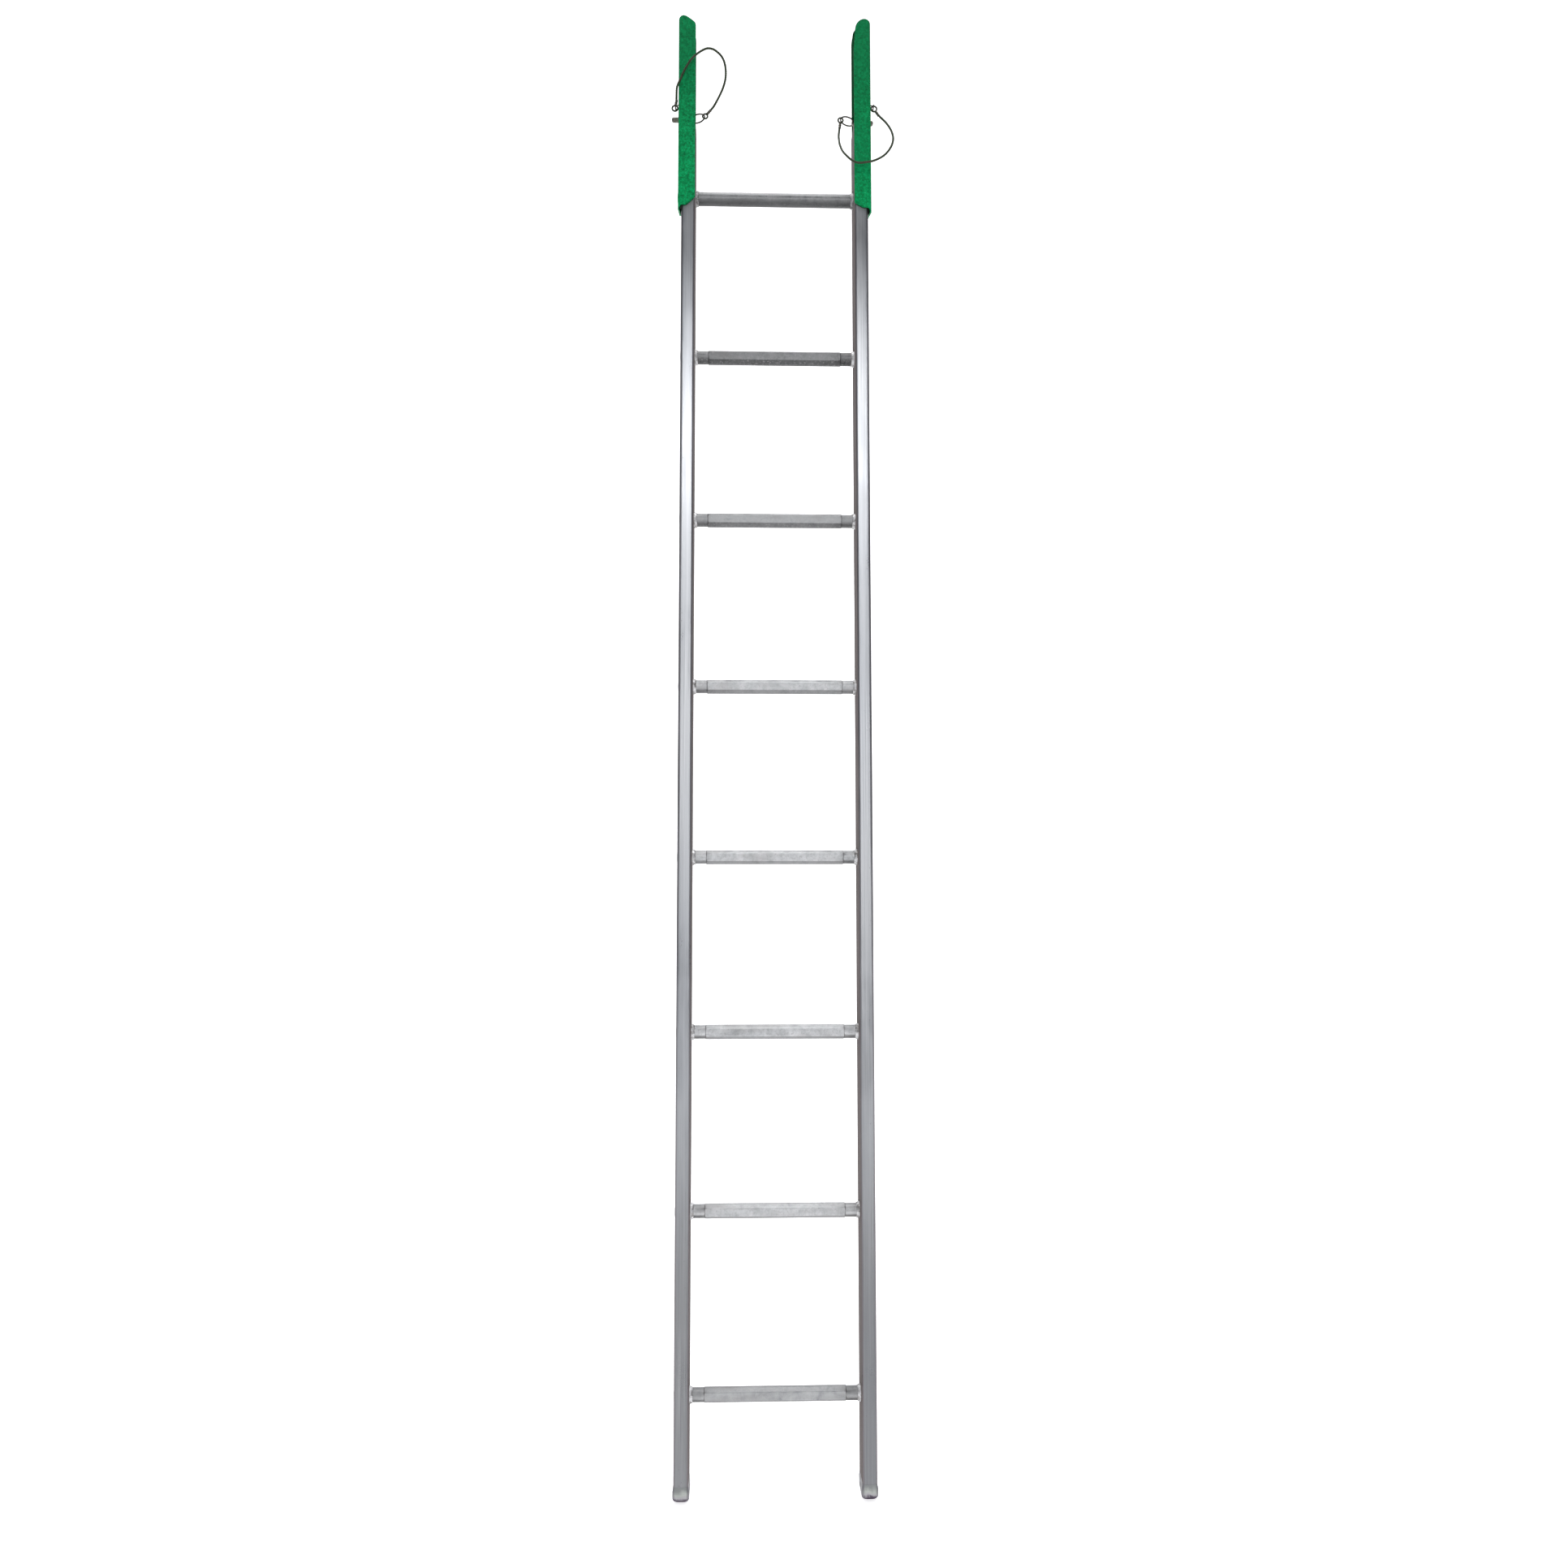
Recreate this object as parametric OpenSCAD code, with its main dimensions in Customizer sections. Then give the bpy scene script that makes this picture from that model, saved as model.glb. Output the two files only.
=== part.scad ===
// Aluminium ladder section with green rail sockets, lock pins and wire-rope lanyards.
// Millimetres, +Z up, front towards -Y. Origin on the floor, midway between the feet.

/* [Ladder] */
// Distance between the centre lines of the two rails
rail_spacing = 317.5; // [300:0.5:360]
// Height of the open top of the rail tubes above the floor
rail_top = 2438.4; // [2430:0.1:2450]
// Distance from one rung to the next
rung_pitch = 304.8; // [300:0.1:304.8]
// Height of the lowest rung's axis
first_rung = 167.6; // [150:0.1:170]

/* [Rails] */
// Width of a rail across the ladder
rail_w = 25.4; // [24:0.1:27]
// Depth of a rail from front to back
rail_d = 63.5; // [60:0.1:64]
// Wall of the rail tube
rail_wall = 2; // [1.5:0.1:3]
// Outer corner radius of the rail tube
rail_corner = 5; // [4:0.1:7]

/* [Rungs] */
// Diameter of the round necks at the ends of rungs 1 to 7
neck_d = 23.7; // [22:0.1:25]
// Diameter of the plain round top rung
top_rung_d = 24.4; // [22:0.1:26]
// Diameter of the bore along every rung
rung_bore_d = 19.2; // [16:0.1:20]
// Length of the flatted middle part of rungs 1 to 7
tread_l = 242.4; // [200:0.1:260]
// Height of the flatted part
tread_h = 25.2; // [24.8:0.1:28]
// Depth of the flatted part from front to back
tread_d = 24.8; // [24.4:0.1:28]
// Height of the flat on the front and the back of the tread
tread_front_flat = 14.4; // [10:0.1:16]
// Depth of the flat on the top and the bottom of the tread
tread_top_flat = 6; // [5:0.1:12]
// Rounding of the tread's long edges
tread_edge = 2; // [0.5:0.1:2.5]

/* [Welds] */
// Diameter of the weld beads of rungs 1 to 7 where they meet the rail
bead_d = 28.8; // [26:0.1:34]
// Diameter of the top rung's weld bead
top_bead_d = 29; // [27:0.1:32]
// Reach of the weld bead along the neck
bead_l = 6.6; // [4:0.1:8]
// Diameter of the closed rung end on the outer side of the rail
end_weld_d = 31; // [28:0.1:34]
// Height of the closed rung end
end_weld_h = 2; // [1:0.1:2.6]

/* [Sockets] */
// Height of the front flanges' tops above the floor
socket_top = 2637; // [2600:1:2700]
// Height of the front flanges' bottoms above the floor
socket_bottom = 2271; // [2250:1:2272]
// How much higher the rear flanges' tops stand
socket_top_rise = 30; // [15:0.5:32]
// How much higher the rear flanges' bottoms stand
socket_bottom_rise = 21; // [10:0.5:25]
// Plate thickness of the sockets
socket_plate = 3.2; // [2.5:0.1:3.4]
// Overall depth of a socket from front to back
socket_d = 72; // [70:0.1:76]
// Outer bend radius of a socket
socket_bend = 6.5; // [5:0.1:8]
// Gap between the rail and the socket's web
socket_gap = 2.85; // [2:0.05:3]
// Diameter of the spacer washer in that gap
spacer_d = 34; // [30:0.5:40]
// Diameter of the riveted-over end of the top rung
tenon_head_d = 27; // [26:0.1:30]
// Height of the riveted-over end
tenon_head_h = 2.8; // [2:0.1:3]

/* [Feet] */
// Height of the foot below the rail tube
foot_h = 30; // [28:0.5:34]
// Width of the flared foot
foot_w = 28; // [26:0.1:29]
// Height of the cross hole's axis, and of the lock pins above the rail tops
cross_hole_up = 16.4; // [15:0.1:17]
// Radius of the cross hole
cross_hole_r = 5.15; // [4.9:0.05:5.5]
// Length of the spigot pressed into the rail
spigot_l = 45; // [30:1:60]

/* [Lock pins] */
// Diameter of a lock pin
pin_d = 9.5; // [9:0.1:9.8]
// Distance from the ring hole to the pin's rounded tip
pin_reach = 35.5; // [34:0.5:40]
// Thickness of the flattened end with the ring hole
pin_tab = 6; // [5:0.1:7]
// Radial play of a pin in its socket
pin_play = 0.06; // [0.03:0.01:0.09]
// Radius of a ring's centre line
ring_r = 13; // [12:0.1:14]
// Wire diameter of a ring
ring_wire = 2.6; // [2.4:0.1:2.8]
// Upward tilt of the rings at rest
ring_tilt = 16; // [10:1:20]

/* [Lanyards] */
// Diameter of the coated wire rope
rope_d = 4; // [3:0.1:4]
// Diameter of the bare rope in the eyes
eye_wire = 3; // [2.4:0.1:3]
// Diameter of the crimp sleeves
crimp_d = 5.2; // [4.6:0.1:5.4]
// Wire diameter of the anchor staples
staple_wire = 2.4; // [2:0.1:2.6]

/* [Hidden] */
$fn = 64;
arc_steps = 6;
rail_x = rail_spacing / 2;
pin_up = rail_top + cross_hole_up;
rung_count = 8;
neck_r = neck_d / 2;
top_rung_r = top_rung_d / 2;
rung_z = [for (i = [0:rung_count - 1]) first_rung + i * rung_pitch];
weld_fit = 0.05;
web_in = rail_w / 2 + socket_gap;
web_out = web_in + socket_plate;
flange_edge = -rail_w / 2;
spigot_fit = 0.05;
spigot_wall = 3;
foot_corner = 10;
foot_roll = 20;
foot_flare_top = 22;
pin_r = pin_d / 2;
ring_hole_r = 1.9;
tab_l = 6.5;
pin_tip_round = 3;

// Heights and positions below are from the middle of each rail at the lock pins' height.
// The first number is outwards from the ladder, the second back, the third up.
left_pin_out = -3.25;
right_pin_out = -9.75;
anchor_out = web_out + 6.9;
anchor_back = -20;
left_anchor_up = 10;
right_anchor_up = 16;
anchor_eye_r = 5.2;
staple_out = web_out + 5.9;
staple_over_eye = 2.2;
staple_half = 6;
ring_eye_r = 4.6;
ring_eye_pull = 1.7;
crimp_from = 5;
crimp_to = 16;

left_route = [
  [23, -20, 24], [23, -22, 29], [22.5, -28, 35], [21.5, -35, 41], [18.5, -40, 46],
  [14, -42.5, 54], [9, -44.5, 65], [2, -45.5, 78], [-5, -46, 89], [-14, -45, 99],
  [-24, -43, 108], [-34, -41, 114], [-44, -38, 115], [-52, -35, 112], [-59, -32, 107],
  [-64, -29, 100], [-67, -25, 91], [-68, -21, 81], [-67, -17, 70], [-63, -13, 57],
  [-57, -9, 45], [-50, -4, 34], [-45, -1, 27], [-40, 0, 21]];
right_route = [
  [33, -20, 5], [38, -21, -1], [45, -24, -10], [52, -29, -23], [57, -34, -37], [59, -38, -52],
  [56, -41, -67], [49, -43, -80], [41, -44, -89], [31, -45, -96], [19, -45, -101],
  [8, -45, -103], [-3, -44, -104], [-12, -43.5, -102], [-20, -41.5, -96], [-28, -38, -86],
  [-34, -30, -73], [-38, -22, -57], [-39, -13, -42], [-39, -6, -29], [-38, -2, -19],
  [-37, 0, -11]];
rope_rings = 38;
rope_sides = 8;

function unit(v) = v / norm(v);

// The two points where an arc of radius r leaves and rejoins the corner b of a-b-c, with its centre.
function corner_arc(a, b, c, r) =
  let (u = unit(a - b), v = unit(c - b))
  let (half = acos(max(-1, min(1, u * v))) / 2)
  let (centre = b + unit(u + v) * r / sin(half))
  let (p = b + u * r / tan(half), q = b + v * r / tan(half))
  let (a0 = atan2(p[1] - centre[1], p[0] - centre[0]))
  let (a1 = atan2(q[1] - centre[1], q[0] - centre[0]))
  let (turn = a1 - a0 > 180 ? a1 - a0 - 360 : a1 - a0 < -180 ? a1 - a0 + 360 : a1 - a0)
  [for (k = [0:arc_steps])
    centre + r * [cos(a0 + turn * k / arc_steps), sin(a0 + turn * k / arc_steps)]];

// A polygon's points with corner i rounded to radius radii[i], or left sharp where that is 0.
function rounded(points, radii) =
  let (n = len(points))
  [for (i = [0:n - 1])
    each radii[i] == 0 ? [points[i]]
      : corner_arc(points[(i + n - 1) % n], points[i], points[(i + 1) % n], radii[i])];

// Moves a side's own drawing to its place: side is -1 for the left and 1 for the right.
module at_rail(side) {
  translate([side * rail_x, 0, 0]) mirror([side < 0 ? 1 : 0, 0, 0]) children();
}

module at_pin(side) {
  at_rail(side) translate([0, 0, pin_up]) children();
}

module round_rect(w, d, r) {
  square([w - 2 * r, d], center = true);
  square([w, d - 2 * r], center = true);
  for (i = [-1, 1], j = [-1, 1])
    translate([i * (w / 2 - r), j * (d / 2 - r)]) circle(r);
}

module across(r, from, to) {
  translate([from, 0, 0]) rotate([0, 90, 0]) cylinder(r = r, h = to - from);
}

module low_dome(r, h) {
  cap_r = (r * r + h * h) / (2 * h);
  cap_a = asin(r / cap_r);
  rotate([0, 90, 0]) rotate_extrude()
    polygon(concat([[0, 0]], [for (k = [arc_steps:-1:0])
      [cap_r * sin(cap_a * k / arc_steps), cap_r * cos(cap_a * k / arc_steps) - cap_r + h]]));
}

module wire_loop(r, wire_r) {
  rotate_extrude() translate([r, 0]) circle(wire_r);
}

// Rails

module rail(side) {
  color([0.62, 0.63, 0.64]) at_rail(side) difference() {
    translate([0, 0, foot_h]) linear_extrude(rail_top - foot_h) difference() {
      round_rect(rail_w, rail_d, rail_corner);
      round_rect(rail_w - 2 * rail_wall, rail_d - 2 * rail_wall, rail_corner - rail_wall);
    }
    for (i = [0:rung_count - 1])
      translate([0, 0, rung_z[i]])
        across((i < rung_count - 1 ? neck_r : top_rung_r) + weld_fit, -rail_w, rail_w);
  }
}

module rail_left() { rail(-1); }
module rail_right() { rail(1); }

// Rungs

module tread_outline() {
  y = tread_d / 2;
  z = tread_h / 2;
  f = tread_front_flat / 2;
  t = tread_top_flat / 2;
  points = [[y, -f], [y, f], [t, z], [-t, z], [-y, f], [-y, -f], [-t, -z], [t, -z]];
  polygon(rounded(points, [for (p = points) tread_edge]));
}

// Rungs 1 to 7: a flatted tread with a round neck through each rail.
module rung(number) {
  reach = rail_x + rail_w / 2;
  color([0.74, 0.75, 0.76]) translate([0, 0, rung_z[number - 1]]) difference() {
    union() {
      across(neck_r, -reach, reach);
      rotate([90, 0, 90]) linear_extrude(tread_l, center = true) tread_outline();
    }
    across(rung_bore_d / 2, -reach - 1, reach + 1);
  }
}

module rung_1() { rung(1); }
module rung_2() { rung(2); }
module rung_3() { rung(3); }
module rung_4() { rung(4); }
module rung_5() { rung(5); }
module rung_6() { rung(6); }
module rung_7() { rung(7); }

// The top rung is a plain round tube that also holds the sockets.
module rung_8() {
  reach = rail_x + web_out;
  color([0.5, 0.51, 0.52]) translate([0, 0, rung_z[rung_count - 1]]) difference() {
    across(top_rung_r, -reach, reach);
    across(rung_bore_d / 2, -reach - 1, reach + 1);
  }
}

// Welds

module bead(r, d) {
  out = d / 2 - r;
  rotate([0, -90, 0]) rotate_extrude()
    polygon(concat([[r, 0]], [for (k = [0:arc_steps])
      [r + out * cos(90 * k / arc_steps), bead_l * sin(90 * k / arc_steps)]]));
}

module neck_welds(side) {
  color([0.8, 0.8, 0.8]) at_rail(side)
    for (i = [0:rung_count - 1])
      translate([-rail_w / 2, 0, rung_z[i]])
        if (i < rung_count - 1) bead(neck_r + weld_fit, bead_d);
        else bead(top_rung_r + weld_fit, top_bead_d);
}

module neck_welds_left() { neck_welds(-1); }
module neck_welds_right() { neck_welds(1); }

module end_welds(side) {
  color([0.66, 0.66, 0.66]) at_rail(side)
    for (i = [0:rung_count - 2])
      translate([rail_w / 2, 0, rung_z[i]]) low_dome(end_weld_d / 2, end_weld_h);
}

module end_welds_left() { end_welds(-1); }
module end_welds_right() { end_welds(1); }

// Sockets

module socket_profile() {
  inner_bend = socket_bend - socket_plate;
  intersection() {
    translate([flange_edge - socket_bend, -socket_d / 2])
      difference() {
        translate([(web_out - flange_edge + socket_bend) / 2, socket_d / 2])
          round_rect(web_out - flange_edge + socket_bend, socket_d, socket_bend);
        translate([(web_in - flange_edge + socket_bend) / 2 - 1, socket_d / 2])
          round_rect(web_in - flange_edge + socket_bend + 2, socket_d - 2 * socket_plate,
            inner_bend);
      }
    translate([flange_edge, -socket_d]) square([web_out - flange_edge + 1, 2 * socket_d]);
  }
}

module flange_ends(points, radii, from, to) {
  translate([0, to, 0]) rotate([90, 0, 0]) linear_extrude(to - from)
    polygon(rounded(points, radii));
}

// What is left of the channel after its ends are cut: both slant up from the front flange,
// through the web, to the rear flange. The two front flanges are rounded off differently.
module socket_cut(side) {
  edge = flange_edge - 0.2;
  back = web_out + 0.5;
  top = socket_top;
  low = socket_bottom;
  high = top + socket_top_rise;
  lift = low + socket_bottom_rise;
  half = socket_d / 2 - socket_bend - 1.5;
  if (side < 0)
    flange_ends([[edge, low + 15], [back - 16, low], [back - 5.5, low], [back, low - 13],
      [back, top], [back - 11.5, top], [edge, top - 16]],
      [3, 6, 3, 0, 8, 10, 8], -socket_d, -half);
  else
    flange_ends([[edge, low + 8.5], [back - 16.5, low], [back - 5.5, low], [back, low - 13],
      [back, top], [back - 26.8, top], [edge, top - 58]],
      [3, 6, 3, 0, 9, 15, 40], -socket_d, -half);
  translate([flange_edge, 0, 0]) rotate([90, 0, 90]) linear_extrude(back - flange_edge)
    polygon([[-half, low - 10], [half, lift - 10], [half, high - 4], [-half, top - 4]]);
  flange_ends([[edge + 2, lift + 15], [back - 16, lift], [back - 5.5, lift], [back, lift - 13],
    [back, high], [edge + 6.8, high], [edge + 2, top]],
    [3, 6, 3, 0, 8, 13, 40], half, socket_d);
}

module socket(side) {
  color([0, 0.42, 0.24]) at_rail(side) difference() {
    intersection() {
      linear_extrude(socket_top + socket_top_rise + 10) socket_profile();
      socket_cut(side);
    }
    translate([0, 0, pin_up]) across(pin_r + pin_play, web_in - 2, web_out + 2);
    translate([0, 0, rung_z[rung_count - 1]])
      across(top_rung_r + weld_fit, web_in - 2, web_out + 2);
  }
}

module socket_left() { socket(-1); }
module socket_right() { socket(1); }

module socket_spacer(side) {
  color([0.3, 0.3, 0.3]) at_rail(side) translate([0, 0, rung_z[rung_count - 1]]) difference() {
    across(spacer_d / 2, rail_w / 2, web_in);
    across(top_rung_r + weld_fit, rail_w / 2 - 1, web_in + 1);
  }
}

module socket_spacer_left() { socket_spacer(-1); }
module socket_spacer_right() { socket_spacer(1); }

module socket_tenon(side) {
  color([0, 0.42, 0.24]) at_rail(side) translate([web_out, 0, rung_z[rung_count - 1]])
    low_dome(tenon_head_d / 2, tenon_head_h);
}

module socket_tenon_left() { socket_tenon(-1); }
module socket_tenon_right() { socket_tenon(1); }

// Feet

module foot_front_outline() {
  w = foot_w / 2;
  n = rail_w / 2;
  points = [[w, 0], [w, foot_flare_top], [n, foot_h], [-n, foot_h], [-w, foot_flare_top], [-w, 0]];
  polygon(rounded(points, [foot_corner, 4, 0, 0, 4, foot_corner]));
}

module foot_side_outline() {
  d = rail_d / 2;
  points = [[d, 0], [d, foot_h], [-d, foot_h], [-d, 0]];
  polygon(rounded(points, [foot_roll, 0, 0, foot_roll]));
}

module foot_plug(side) {
  color([0.6, 0.62, 0.6]) at_rail(side) {
    difference() {
      intersection() {
        linear_extrude(foot_h) round_rect(foot_w, rail_d, rail_corner);
        rotate([90, 0, 0]) linear_extrude(2 * rail_d, center = true) foot_front_outline();
        rotate([90, 0, 90]) linear_extrude(2 * rail_w, center = true) foot_side_outline();
      }
      translate([0, 0, cross_hole_up]) across(cross_hole_r, -rail_w, rail_w);
    }
    translate([0, 0, foot_h]) linear_extrude(spigot_l) difference() {
      round_rect(rail_w - 2 * rail_wall - 2 * spigot_fit, rail_d - 2 * rail_wall - 2 * spigot_fit,
        rail_corner - rail_wall);
      round_rect(rail_w - 2 * rail_wall - 2 * spigot_wall, rail_d - 2 * rail_wall - 2 * spigot_wall,
        1);
    }
  }
}

module foot_plug_left() { foot_plug(-1); }
module foot_plug_right() { foot_plug(1); }

// Lock pins and rings. pin_out is the ring hole's place across the socket.

module lock_pin(side, pin_out) {
  color([0.25, 0.25, 0.23]) at_pin(side) translate([pin_out, 0, 0]) difference() {
    union() {
      rotate([0, 90, 0]) rotate_extrude() {
        square([pin_r, pin_reach - pin_tip_round]);
        square([pin_r - pin_tip_round, pin_reach]);
        intersection() {
          translate([pin_r - pin_tip_round, pin_reach - pin_tip_round]) circle(pin_tip_round);
          square([pin_r, pin_reach]);
        }
      }
      rotate([90, 0, 0]) cylinder(r = pin_r, h = pin_tab, center = true);
    }
    for (j = [-1, 1])
      translate([tab_l / 2 - pin_d / 2, j * (pin_tab / 2 + pin_d / 2), 0])
        cube([tab_l + pin_d, pin_d, 2 * pin_d], center = true);
    rotate([90, 0, 0]) cylinder(r = ring_hole_r, h = 2 * pin_tab, center = true);
  }
}

module lock_pin_left() { lock_pin(-1, left_pin_out); }
module lock_pin_right() { lock_pin(1, right_pin_out); }

module pin_ring(side, pin_out) {
  color([0.3, 0.3, 0.26]) at_pin(side) translate([pin_out, 0, 0])
    rotate([0, ring_tilt, 0]) translate([-ring_r, 0, 0]) wire_loop(ring_r, ring_wire / 2);
}

module pin_ring_left() { pin_ring(-1, left_pin_out); }
module pin_ring_right() { pin_ring(1, right_pin_out); }

// Lanyards

function ring_far(pin_out) =
  [pin_out - 2 * ring_r * cos(ring_tilt), 0, 2 * ring_r * sin(ring_tilt)];
function ring_eye_at(pin_out, route) =
  ring_far(pin_out) + ring_eye_pull * unit(route[len(route) - 1] - ring_far(pin_out));
function anchor_eye_at(up) = [anchor_out, anchor_back, up];

module eye(side, centre, r) {
  color([0.5, 0.5, 0.46]) at_pin(side) translate(centre) rotate([90, 0, 0])
    wire_loop(r, eye_wire / 2);
}

module crimp(side, centre, towards) {
  way = unit(towards - centre);
  color([0.45, 0.45, 0.4]) at_pin(side) translate(centre + crimp_from * way)
    rotate([0, acos(way[2]), atan2(way[1], way[0])])
      cylinder(d = crimp_d, h = crimp_to - crimp_from);
}

module anchor_staple(side, up) {
  color([0.35, 0.35, 0.33]) at_pin(side)
    translate([0, anchor_back, up + staple_over_eye]) {
      translate([staple_out, 0, 0]) rotate([90, 0, 0])
        cylinder(d = staple_wire, h = 2 * staple_half + 2 * staple_wire, center = true);
      for (j = [-1, 1]) translate([0, j * staple_half, 0])
        across(staple_wire / 2 - 0.15, web_out, staple_out);
    }
}

module anchor_staple_left() { anchor_staple(-1, left_anchor_up); }
module anchor_staple_right() { anchor_staple(1, right_anchor_up); }

module anchor_eye_left() { eye(-1, anchor_eye_at(left_anchor_up), anchor_eye_r); }
module anchor_eye_right() { eye(1, anchor_eye_at(right_anchor_up), anchor_eye_r); }

module anchor_crimp_left() { crimp(-1, anchor_eye_at(left_anchor_up), left_route[0]); }
module anchor_crimp_right() { crimp(1, anchor_eye_at(right_anchor_up), right_route[0]); }

module ring_eye_left() { eye(-1, ring_eye_at(left_pin_out, left_route), ring_eye_r); }
module ring_eye_right() { eye(1, ring_eye_at(right_pin_out, right_route), ring_eye_r); }

module ring_crimp_left() {
  crimp(-1, ring_eye_at(left_pin_out, left_route), left_route[len(left_route) - 1]);
}
module ring_crimp_right() {
  crimp(1, ring_eye_at(right_pin_out, right_route), right_route[len(right_route) - 1]);
}

// A smooth curve through the route's points, at place t from 0 to 1.
function on_route(route, t) =
  let (last = len(route) - 1)
  let (i = min(last - 1, floor(t * last)), f = t * last - i)
  let (a = route[max(0, i - 1)], b = route[i], c = route[i + 1], d = route[min(last, i + 2)])
  0.5 * (2 * b + (c - a) * f + (2 * a - 5 * b + 4 * c - d) * f * f
    + (3 * b - a - 3 * c + d) * f * f * f);

function rope_way(route, t) =
  unit(on_route(route, min(1, t + 0.004)) - on_route(route, max(0, t - 0.004)));

module rope(side, route) {
  ring_points = [for (k = [0:rope_rings - 1]) let (
      t = k / (rope_rings - 1),
      p = on_route(route, t),
      way = rope_way(route, t),
      n = unit(cross(way, [0, 1, 0])),
      b = cross(way, n))
    for (j = [0:rope_sides - 1])
      p + rope_d / 2 * (n * cos(360 * j / rope_sides) + b * sin(360 * j / rope_sides))];
  walls = [for (k = [0:rope_rings - 2], j = [0:rope_sides - 1])
    let (j2 = (j + 1) % rope_sides, k0 = k * rope_sides, k1 = (k + 1) * rope_sides)
    each [[k0 + j, k1 + j, k1 + j2], [k0 + j, k1 + j2, k0 + j2]]];
  ends = [[for (j = [0:rope_sides - 1]) j],
    [for (j = [rope_sides - 1:-1:0]) (rope_rings - 1) * rope_sides + j]];
  color([0.48, 0.48, 0.44]) at_pin(side)
    polyhedron(points = ring_points, faces = concat(walls, ends));
}

module lanyard_left() { rope(-1, left_route); }
module lanyard_right() { rope(1, right_route); }

rail_left();
rail_right();
rung_1();
rung_2();
rung_3();
rung_4();
rung_5();
rung_6();
rung_7();
rung_8();
neck_welds_left();
neck_welds_right();
end_welds_left();
end_welds_right();
socket_left();
socket_right();
socket_spacer_left();
socket_spacer_right();
socket_tenon_left();
socket_tenon_right();
foot_plug_left();
foot_plug_right();
lock_pin_left();
lock_pin_right();
pin_ring_left();
pin_ring_right();
anchor_staple_left();
anchor_staple_right();
anchor_eye_left();
anchor_eye_right();
anchor_crimp_left();
anchor_crimp_right();
lanyard_left();
lanyard_right();
ring_crimp_left();
ring_crimp_right();
ring_eye_left();
ring_eye_right();
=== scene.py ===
import math

import bpy
import numpy as np
from mathutils import Matrix, Vector


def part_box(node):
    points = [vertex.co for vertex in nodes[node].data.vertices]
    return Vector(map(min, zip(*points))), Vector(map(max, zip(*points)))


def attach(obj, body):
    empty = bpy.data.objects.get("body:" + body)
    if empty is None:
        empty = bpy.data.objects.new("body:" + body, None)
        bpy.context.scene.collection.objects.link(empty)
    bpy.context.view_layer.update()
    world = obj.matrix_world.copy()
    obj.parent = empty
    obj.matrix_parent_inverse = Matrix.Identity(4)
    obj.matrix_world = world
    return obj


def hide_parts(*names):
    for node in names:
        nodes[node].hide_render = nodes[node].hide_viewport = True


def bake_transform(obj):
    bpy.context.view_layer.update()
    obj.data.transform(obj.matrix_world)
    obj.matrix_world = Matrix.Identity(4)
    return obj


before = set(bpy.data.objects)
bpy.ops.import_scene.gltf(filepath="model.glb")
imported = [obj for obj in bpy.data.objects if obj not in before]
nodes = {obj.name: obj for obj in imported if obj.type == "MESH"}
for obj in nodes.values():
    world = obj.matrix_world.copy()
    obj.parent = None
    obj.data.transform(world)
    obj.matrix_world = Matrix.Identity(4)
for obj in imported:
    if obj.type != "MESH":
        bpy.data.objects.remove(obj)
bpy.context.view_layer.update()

MM = 0.001
SIDES = {"left": -1, "right": 1}

# ---------------------------------------------------------------- places read from the CAD


def box_mm(node):
    low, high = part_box(node)
    return np.array(low) / MM, np.array(high) / MM


rail_low, rail_high = box_mm("rail_right")
RAIL_X = (rail_low[0] + rail_high[0]) / 2
RAIL_W = rail_high[0] - rail_low[0]
RAIL_D = rail_high[1] - rail_low[1]
RAIL_TOP = rail_high[2]
FOOT_H = rail_low[2]
RAIL_CORNER = 5.0
RAIL_WALL = 2.0
RUNGS = 8
RUNG_Z = [sum(box_mm("rung_%d" % n)[i][2] for i in (0, 1)) / 2 for n in range(1, RUNGS + 1)]
RUNG_HALF = box_mm("rung_1")[1][0]
TOP_RUNG_HALF = box_mm("rung_8")[1][0]
TOP_RUNG_R = (box_mm("rung_8")[1][1] - box_mm("rung_8")[0][1]) / 2
TREAD_D = box_mm("rung_1")[1][1]
TREAD_H = (box_mm("rung_1")[1][2] - box_mm("rung_1")[0][2]) / 2
NECK_R = 11.85
TREAD_HALF = 121.2  # from the ladder's middle to where a tread turns down to its neck
pin_low, pin_high = box_mm("lock_pin_right")
PIN_Z = (pin_low[2] + pin_high[2]) / 2
socket_low, socket_high = box_mm("socket_right")
WEB_OUT = socket_high[0]
SOCKET_D = socket_high[1] - socket_low[1]
REAR_RISE = 30.0  # the rear flanges end this much above the front ones
SOCKET_TOP = socket_high[2] - REAR_RISE
SOCKET_LOW = 2271.0  # where the front flanges end
REAR_TUCK = 1.8  # the rear flanges stop this much short of the front ones' free edge
PLATE = 3.2
PIN_HOLE_R = 4.81
FOOT_HOLE_R = 5.15
FOOT_HOLE_Z = 16.4

# ---------------------------------------------------------------- camera

CAMERA_AT = (-0.0566, -2.2655, 1.0065)
CAMERA_TURN = (1.846, 5.189, -0.069)  # yaw to the right, pitch up and roll, in degrees
CAMERA_LENS = 29.335


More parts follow.
